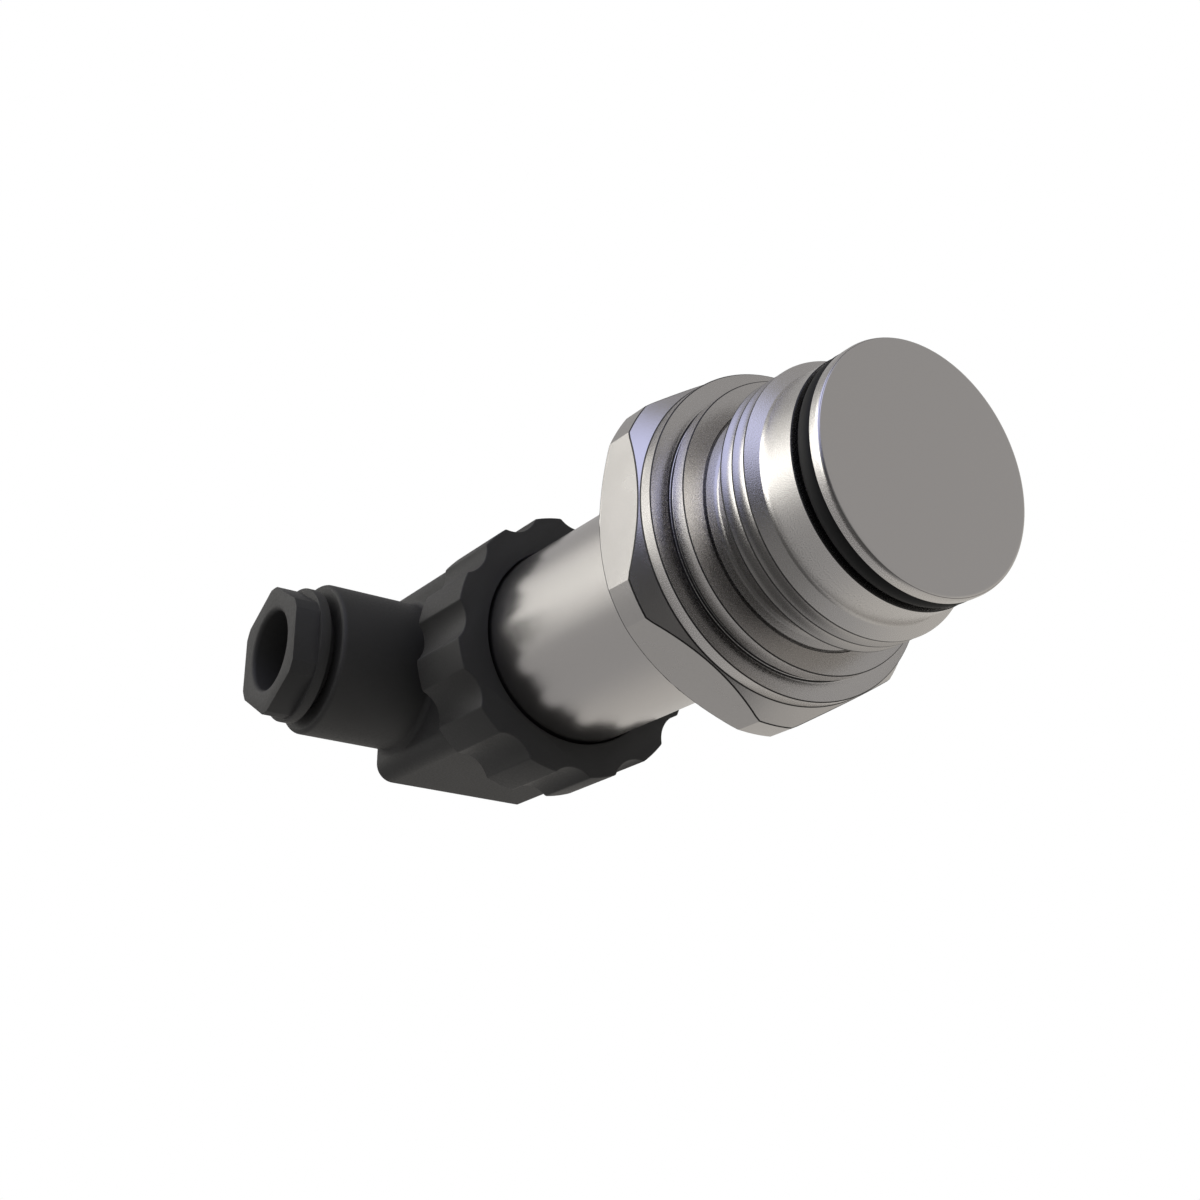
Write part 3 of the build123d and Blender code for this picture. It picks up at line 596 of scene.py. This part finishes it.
FINISHES = {
    "stainless": SATIN_STEEL,
    "black_moulding": BLACK_MOULDING,
    "seal_rubber": SEAL_RUBBER,
    "seal_glass": glass_seal_material(),
    "gold_pin": metal_material("gold_plate", (0.8, 0.55, 0.2), (0.9, 0.66, 0.28), (0.18, 0.28), 0.1, 0.05),
    "silicon": metal_material("silicon_die", (0.12, 0.13, 0.16), (0.2, 0.21, 0.25), (0.1, 0.2), 0.1, 0.03),
    "board_green": board_material(),
    "component_black": moulded_material(
        "chip_epoxy", (0.008, 0.008, 0.009), (0.014, 0.014, 0.016), (0.45, 0.6), 0.08, 0.15, 0.4
    ),
    "cable_amber": moulded_material(
        "amber_film", (0.32, 0.12, 0.015), (0.42, 0.17, 0.03), (0.2, 0.32), 0.2, 0.05, 0.5
    ),
    "brass": metal_material(
        "brass_turned", (0.6, 0.42, 0.17), (0.72, 0.53, 0.25), (0.25, 0.38), 0.15, 0.1
    ),
    "tinned_brass": metal_material(
        "tin_plate", (0.55, 0.55, 0.53), (0.66, 0.66, 0.64), (0.28, 0.42), 0.15, 0.1
    ),
    "plated_screw": metal_material(
        "zinc_plate", (0.5, 0.5, 0.49), (0.62, 0.62, 0.61), (0.25, 0.4), 0.12, 0.1
    ),
    "wire_cover": moulded_material(
        "wire_silicone", (0.3, 0.3, 0.31), (0.42, 0.42, 0.43), (0.4, 0.55), 0.3, 0.05, 0.4
    ),
}
for cad_node in nodes.values():
    for material_slot in cad_node.material_slots:
        material_slot.material = FINISHES[material_slot.material.name]
nodes["case_tube"].material_slots[0].material = TUBE_STEEL


def nose_points():
    """Sealing nose: rounded rim, o-ring groove and rounded end."""
    rim_centre = (NOSE_RADIUS - RIM_ROUND, MEMBRANE + RIM_ROUND * sin(radians(RIM_TILT)))
    end_height = NOSE_END - NOSE_END_ROUND * sin(radians(NOSE_END_TILT))
    end_centre = (NOSE_RADIUS + NOSE_END_ROUND, end_height)
    return [
        *arc_points(rim_centre, RIM_ROUND, -RIM_TILT, 0, 4),
        (NOSE_RADIUS, NOSE_RIM),
        (NOSE_GROOVE_RADIUS, NOSE_RIM),
        (NOSE_GROOVE_RADIUS, NOSE_GROOVE_END),
        (NOSE_RADIUS, NOSE_GROOVE_END),
        *arc_points(end_centre, NOSE_END_ROUND, 180, 180 - NOSE_END_TILT, 6),
    ]


def thread_points():
    """Thread: narrow flat crests with a round valley before each but the first."""
    points = []
    half_crest = THREAD_CREST / 2
    rise = THREAD_ROUND * sin(radians(THREAD_TILT))
    valley_radius = THREAD_RADIUS + THREAD_ROUND * cos(radians(THREAD_TILT))
    for number in range(THREAD_TURNS + 1):
        height = THREAD_START + number * THREAD_PITCH
        if number:
            valley = (valley_radius, height - half_crest - rise)
            points += arc_points(valley, THREAD_ROUND, 180, 180 - THREAD_TILT, 12)[:-1]
        points += [(THREAD_RADIUS, height - half_crest), (THREAD_RADIUS, height + half_crest)]
    return points


def undercut_points():
    """Undercut: sloping front, rounded bottom, sloping rear and a fine groove in the corner."""
    tilt = radians(UNDERCUT_TILT)
    slope_start = UNDERCUT_RADIUS + UNDERCUT_ROUND * (1 - cos(tilt))
    slope_length = (CORNER_GROOVE_RADIUS - slope_start) / tan(tilt)
    slope_end = RELIEF_END - CORNER_GROOVE_LIP
    bottom_end = (UNDERCUT_RADIUS + UNDERCUT_ROUND, slope_end - slope_length - UNDERCUT_ROUND * sin(tilt))
    groove_end = CORNER_GROOVE_RADIUS + CORNER_GROOVE_WIDTH
    return [
        (UNDERCUT_RADIUS, THREAD_END + THREAD_CREST / 2 + THREAD_RADIUS - UNDERCUT_RADIUS),
        *arc_points(bottom_end, UNDERCUT_ROUND, 180, 180 - UNDERCUT_TILT, 6),
        (CORNER_GROOVE_RADIUS, slope_end),
        (CORNER_GROOVE_RADIUS, RELIEF_END + CORNER_GROOVE_DEPTH),
        (groove_end, RELIEF_END + CORNER_GROOVE_DEPTH),
        (groove_end, RELIEF_END),
    ]


def shoulder_points():
    """Sealing shoulder, the groove behind it with one round corner, and the collar."""
    corner = (SEAL_GROOVE_RADIUS + SEAL_GROOVE_ROUND, COLLAR_START - SEAL_GROOVE_ROUND)
    return [
        (SHOULDER_RADIUS, RELIEF_END),
        (SHOULDER_RADIUS, SHOULDER_END),
        (SEAL_GROOVE_RADIUS, SHOULDER_END),
        *arc_points(corner, SEAL_GROOVE_ROUND, 180, 90, 4),
        (COLLAR_RADIUS, COLLAR_START),
        (COLLAR_RADIUS, COLLAR_END),
    ]


def mill_hexagon(piece):
    """Six flats across the turned blank, which is narrower than the flats elsewhere."""
    make_active(piece)
    bpy.ops.object.mode_set(mode="EDIT")
    for side in range(6):
        outward = Vector((cos(side * pi / 3), sin(side * pi / 3), 0))
        bpy.ops.mesh.select_all(action="SELECT")
        bpy.ops.mesh.bisect(
            plane_co=outward * HEXAGON_FLATS / 2 * MM,
            plane_no=outward,
            use_fill=True,
            clear_outer=True,
        )
    bpy.ops.mesh.select_all(action="SELECT")
    bpy.ops.mesh.remove_doubles(threshold=MERGE_DISTANCE * MM)
    bpy.ops.object.mode_set(mode="OBJECT")


def axis_distance(face):
    return Vector((face.center.x, face.center.y)).length / MM


def sort_steel_faces(piece):
    """Second material on the crests, third in the valleys and the undercut, fourth on the flats; the third
    and fourth are darker steel that is painted shade.
    """
    for face in piece.data.polygons:
        height = face.center.z / MM
        radius = axis_distance(face)
        if THREAD_START - 1 < height < THREAD_END + 1 and radius > THREAD_RADIUS - NEAR:
            face.material_index = 1
        elif THREAD_START < height < RELIEF_END - CORNER_GROOVE_LIP and radius > UNDERCUT_RADIUS - NEAR:
            face.material_index = 2
        elif height > COLLAR_END + NEAR and radius > COLLAR_RADIUS - NEAR and face.material_index == 0:
            face.material_index = 3


def make_process_body():
    """Process body: one turned profile, six milled flats and a fine dark line on its sharp edges."""
    profile = [
        (OIL_DUCT, WAVE_FLOOR),
        (WAVE_BED, WAVE_FLOOR),
        (WAVE_BED, MEMBRANE),
        *nose_points(),
        *thread_points(),
        *undercut_points(),
        *shoulder_points(),
        (HEXAGON_TURNED, COLLAR_END + HEXAGON_TURNED - COLLAR_RADIUS),
        (HEXAGON_TURNED, HEXAGON_END - HEXAGON_REAR_BEVEL),
        (HEXAGON_TURNED - HEXAGON_REAR_BEVEL, HEXAGON_END),
        (SPIGOT_RADIUS, HEXAGON_END),
        (SPIGOT_RADIUS, SPIGOT_END),
        (CELL_BORE, SPIGOT_END),
        (CELL_BORE, CELL_SEAT),
        (DIE_POCKET, CELL_SEAT),
        (DIE_POCKET, DIE_POCKET_FLOOR),
        (OIL_DUCT, DIE_POCKET_FLOOR),
        (OIL_DUCT, WAVE_FLOOR),
    ]
    piece = draw_profile("process_body_turned", profile)
    turn_profile(piece, TURNED_STEPS)
    mill_hexagon(piece)
    give_finish(piece, SATIN_STEEL, STEEL_EDGE, SHADED_THREAD_STEEL, SHADED_MILLED_STEEL)
    line_edges(piece, EDGE_LINE, HEIGHTS_WITHOUT_LINES)
    sort_steel_faces(piece)
    smooth(piece, 20)
    dress(piece, "process_body", "case")


def make_membrane():
    """Flush membrane: its welded edge is rounded, with the fine dark line of the weld round it."""
    edge_radius = NOSE_RADIUS - RIM_ROUND * (1 - cos(radians(RIM_TILT)))
    flat_radius = edge_radius - MEMBRANE_EDGE_ROUND * cos(radians(RIM_TILT))
    rounded = arc_points((flat_radius, MEMBRANE_EDGE_ROUND), MEMBRANE_EDGE_ROUND, -90, -RIM_TILT, 12)
    profile = [
        (WAVE_BED / 2, MEMBRANE),
        (WAVE_BED / 2, 0),
        (flat_radius - MEMBRANE_LAND, 0),
        *rounded,
        (WAVE_BED / 2, MEMBRANE),
    ]
    piece = draw_profile("membrane_flush", profile)
    turn_profile(piece, TURNED_STEPS)
    cut(piece, cylinder("membrane_middle", WAVE_BED / 2, 0, MEMBRANE, TURNED_STEPS), "UNION")
    give_finish(piece, MEMBRANE_STEEL, STEEL_EDGE)
    for face in piece.data.polygons:
        outside = axis_distance(face) - flat_radius
        tilt = degrees(atan2(MEMBRANE_EDGE_ROUND - face.center.z / MM, outside))
        face.material_index = 1 if outside > 0 and WELD_LINE[0] < tilt < WELD_LINE[1] else 0
    smooth(piece, 30)
    dress(piece, "membrane", "case")


def make_coupling_ring():
    """Coupling ring: a round blank, scalloped for the fingers and bored in steps, edges softly moulded."""
    piece = cylinder("coupling_ring_moulded", RING_CREST_RADIUS, RING_FRONT, RING_REAR, RING_STEPS)
    for number in range(RING_SCALLOPS):
        turn = 2 * pi * number / RING_SCALLOPS
        centre = (SCALLOP_CENTRE * cos(turn), SCALLOP_CENTRE * sin(turn))
        low, high = RING_FRONT - CUT_PAST, RING_REAR + CUT_PAST
        cut(piece, cylinder("scallop", SCALLOP_RADIUS, low, high, SCALLOP_STEPS, centre=centre))
    for radius, low, high in RING_BORES:
        cut(piece, cylinder("bore", radius, low, high, BORE_STEPS))
    give_finish(piece, BLACK_MOULDING)
    break_edges(piece, RING_EDGE, segments=3)
    smooth(piece, 40)
    dress(piece, "coupling_ring", "ring")


def round_cable_mouth(piece):
    """Rounds the outer edge of the gland screw's bore, where the cable goes in."""
    make_active(piece)
    for vertex in piece.data.vertices:
        radius = Vector((vertex.co.y, vertex.co.z - GLAND_HEIGHT * MM)).length
        at_end = abs(vertex.co.x - NUT_END * MM) < NEAR * MM
        vertex.select = at_end and radius < (NUT_BORE_RADIUS + NEAR) * MM
    for edge in piece.data.edges:
        edge.select = all(piece.data.vertices[index].select for index in edge.vertices)
    for face in piece.data.polygons:
        face.select = False
    bpy.ops.object.mode_set(mode="EDIT")
    bpy.ops.mesh.select_mode(type="EDGE")
    bpy.ops.mesh.bevel(offset=NUT_MOUTH_ROUND * MM, segments=6, affect="EDGES")
    bpy.ops.mesh.select_mode(type="VERT")
    bpy.ops.object.mode_set(mode="OBJECT")


def make_gland_nut():
    """Hollow gland screw: hexagon with turned corners, flange and shank, and a rounded cable mouth."""
    centre = (0, GLAND_HEIGHT)
    corner_radius = NUT_FLATS / 2 / cos(pi / 6)
    piece = cylinder("gland_nut_moulded", corner_radius, NUT_FLANGE_END - OVERLAP, NUT_END, 6, "X", centre)
    blank_end = NUT_END + CUT_PAST
    blank = cylinder("turned", NUT_TURNED_RADIUS, NUT_FLANGE_START, blank_end, NUT_STEPS, "X", centre)
    cut(piece, blank, "INTERSECT")
    for radius, low, high in (
        (NUT_FLANGE_RADIUS, NUT_FLANGE_START, NUT_FLANGE_END),
        (NUT_SHANK_RADIUS, NUT_START, NUT_FLANGE_START + OVERLAP),
    ):
        cut(piece, cylinder("step", radius, low, high, NUT_STEPS, "X", centre), "UNION")
    bore = cylinder("bore", NUT_BORE_RADIUS, NUT_START - CUT_PAST, blank_end, NUT_STEPS, "X", centre)
    cut(piece, bore)
    give_finish(piece, BLACK_MOULDING)
    round_cable_mouth(piece)
    break_edges(piece, NUT_EDGE, segments=2)
    smooth(piece, 30)
    dress(piece, "gland_nut", "gland_screw")


make_process_body()
make_membrane()
make_coupling_ring()
make_gland_nut()

# Camera: below the sensing face and to the side of the gland, as in the photograph (places and
# lens in millimetres, roll in degrees)
CAMERA_PLACE = Vector((124.24, -83.36, -123.83)) * MM
CAMERA_AIM = Vector((6.757, -0.019, 52.649)) * MM
CAMERA_ROLL = -118.313
CAMERA_LENS = 53.42
SENSOR_WIDTH = 36
clear_selection()
bpy.ops.object.camera_add()
camera = bpy.context.object
upright = (CAMERA_PLACE - CAMERA_AIM).to_track_quat("Z", "Y").to_matrix()
rolled = upright @ Matrix.Rotation(radians(CAMERA_ROLL), 3, "Z")
camera.matrix_world = Matrix.Translation(CAMERA_PLACE) @ rolled.to_4x4()
camera.data.lens = CAMERA_LENS
camera.data.sensor_width = SENSOR_WIDTH
camera.data.clip_start = 1 * MM
bpy.context.scene.camera = camera

# Floor: pale, under the upright sensor, and seen only from above, since the photograph looks up
# past it (size in metres, gap below the sensing face in millimetres)
FLOOR_SIZE = 4
FLOOR_GAP = 0.02


def floor_material():
    material, tree, shader = start_material("pale_floor")
    tree.nodes.remove(shader)
    output = tree.nodes["Material Output"]
    paint = node(tree, "ShaderNodeBsdfDiffuse")
    clear = node(tree, "ShaderNodeBsdfTransparent")
    rays = node(tree, "ShaderNodeLightPath")
    side = node(tree, "ShaderNodeNewGeometry")
    front = node(tree, "ShaderNodeMath", operation="SUBTRACT")
    front.inputs[0].default_value = 1
    seen = node(tree, "ShaderNodeMath", operation="MULTIPLY")
    mixed = node(tree, "ShaderNodeMixShader")
    cloud = place_group(tree, SOFT_CLOUD, Size=60)
    pale = blend_colours(tree, cloud.outputs["Mask"], (0.8, 0.8, 0.79), (0.84, 0.84, 0.83))
    wire(
        tree,
        (pale, paint.inputs["Color"]),
        (side.outputs["Backfacing"], front.inputs[1]),
        (rays.outputs["Is Camera Ray"], seen.inputs[0]),
        (front.outputs[0], seen.inputs[1]),
        (seen.outputs[0], mixed.inputs[0]),
        (clear.outputs[0], mixed.inputs[1]),
        (paint.outputs[0], mixed.inputs[2]),
        (mixed.outputs[0], output.inputs["Surface"]),
    )
    return material


clear_selection()
bpy.ops.mesh.primitive_plane_add(size=FLOOR_SIZE, location=(0, 0, -FLOOR_GAP * MM))
floor = bpy.context.object
floor.name = "floor"
bpy.ops.object.transform_apply()
floor.data.materials.append(floor_material())

# Studio surroundings that the metal mirrors: grey, with soft light boxes and dark flags, each drawn
# over the ones before it (radius in metres)
SURROUND_RADIUS = 3
SURROUND_COLOUR = (0.44, 0.43, 0.425)
SURROUND_SPOTS = [
    # direction, outer and inner angle in degrees, colour
    ((-0.9, -0.3, 0.3), 75, 25, (0.64, 0.615, 0.58)),
    ((0.6, -0.7, -0.3), 66, 32, (0.1, 0.097, 0.095)),
    ((0.6, -0.1, -0.8), 45, 20, (0.07, 0.069, 0.068)),
    ((0.3, -0.35, -0.9), 28, 8, (0.22, 0.215, 0.21)),
    ((0.6, 0.66, -0.45), 38, 8, (1.16, 1.21, 1.75)),
    ((0.66, 0.38, 0.64), 38, 12, (1.02, 1.0, 0.96)),
    ((0.87, 0.35, 0.3), 30, 14, (3.6, 3.55, 3.4)),
]


def surround_material():
    material, tree, shader = start_material("studio_surround")
    tree.nodes.remove(shader)
    output = tree.nodes["Material Output"]
    place = node(tree, "ShaderNodeTexCoord")
    unit = node(tree, "ShaderNodeVectorMath", operation="NORMALIZE")
    glow = node(tree, "ShaderNodeEmission")
    wire(tree, (place.outputs["Object"], unit.inputs[0]))
    shown = node(tree, "ShaderNodeRGB").outputs[0]
    shown.default_value = (*SURROUND_COLOUR, 1)
    for direction, outer, inner, colour in SURROUND_SPOTS:
        facing = node(tree, "ShaderNodeVectorMath", operation="DOT_PRODUCT")
        facing.inputs[1].default_value = Vector(direction).normalized()
        edge = node(tree, "ShaderNodeMapRange", interpolation_type="SMOOTHSTEP")
        edge.inputs["From Min"].default_value = cos(radians(outer))
        edge.inputs["From Max"].default_value = cos(radians(inner))
        mixed = node(tree, "ShaderNodeMix", data_type="RGBA")
        mixed.inputs["B"].default_value = (*colour, 1)
        wire(
            tree,
            (unit.outputs[0], facing.inputs[0]),
            (facing.outputs["Value"], edge.inputs["Value"]),
            (edge.outputs["Result"], mixed.inputs["Factor"]),
            (shown, mixed.inputs["A"]),
        )
        shown = mixed.outputs["Result"]
    wire(tree, (shown, glow.inputs["Color"]), (glow.outputs[0], output.inputs["Surface"]))
    return material


clear_selection()
bpy.ops.mesh.primitive_uv_sphere_add(segments=48, ring_count=24, radius=SURROUND_RADIUS)
surround = bpy.context.object
surround.name = "studio_surround"
surround.data.materials.append(surround_material())
surround.visible_camera = False
surround.visible_diffuse = False
surround.visible_transmission = False
surround.visible_volume_scatter = False
surround.visible_shadow = False

# World: white where the camera, a gloss or a glass looks, and an even fill light for the rest
FILL_LEVEL = 0.55
world = bpy.data.worlds.new("studio")
bpy.context.scene.world = world
world.use_nodes = True
tree = world.node_tree
background = tree.nodes["Background"]
rays = node(tree, "ShaderNodeLightPath")
seen = node(tree, "ShaderNodeMath", operation="MAXIMUM")
shown = node(tree, "ShaderNodeMath", operation="MAXIMUM")
strength = node(tree, "ShaderNodeMapRange")
strength.inputs["To Min"].default_value = FILL_LEVEL
strength.inputs["To Max"].default_value = 1
background.inputs["Color"].default_value = (1, 1, 1, 1)
wire(
    tree,
    (rays.outputs["Is Camera Ray"], seen.inputs[0]),
    (rays.outputs["Is Glossy Ray"], seen.inputs[1]),
    (seen.outputs[0], shown.inputs[0]),
    (rays.outputs["Is Transmission Ray"], shown.inputs[1]),
    (shown.outputs[0], strength.inputs["Value"]),
    (strength.outputs["Result"], background.inputs["Strength"]),
)

# Lamps: name, direction from the object, distance and size in metres, power in watts, colour
OBJECT_CENTRE = (cad_low + cad_high) / 2
LAMPS = [
    ("key", (0.5, 0.5, 0.7), 0.6, 0.45, 1.8, (1, 0.98, 0.95)),
    ("cool_side", (0.5, 0.75, -0.4), 0.6, 0.5, 0.6, (0.86, 0.89, 1)),
    ("rear_fill", (-0.5, -0.7, 0.5), 0.7, 0.6, 1.2, (1, 0.97, 0.93)),
]
for name, direction, distance, size, power, colour in LAMPS:
    clear_selection()
    away = Vector(direction).normalized()
    bpy.ops.object.light_add(type="AREA", location=OBJECT_CENTRE + away * distance)
    lamp = bpy.context.object
    lamp.name = name
    lamp.rotation_euler = away.to_track_quat("Z", "Y").to_euler()
    lamp.data.shape = "DISK"
    lamp.data.size = size
    lamp.data.energy = power
    lamp.data.color = colour
    lamp.visible_glossy = False

bpy.context.scene.view_settings.view_transform = "Standard"
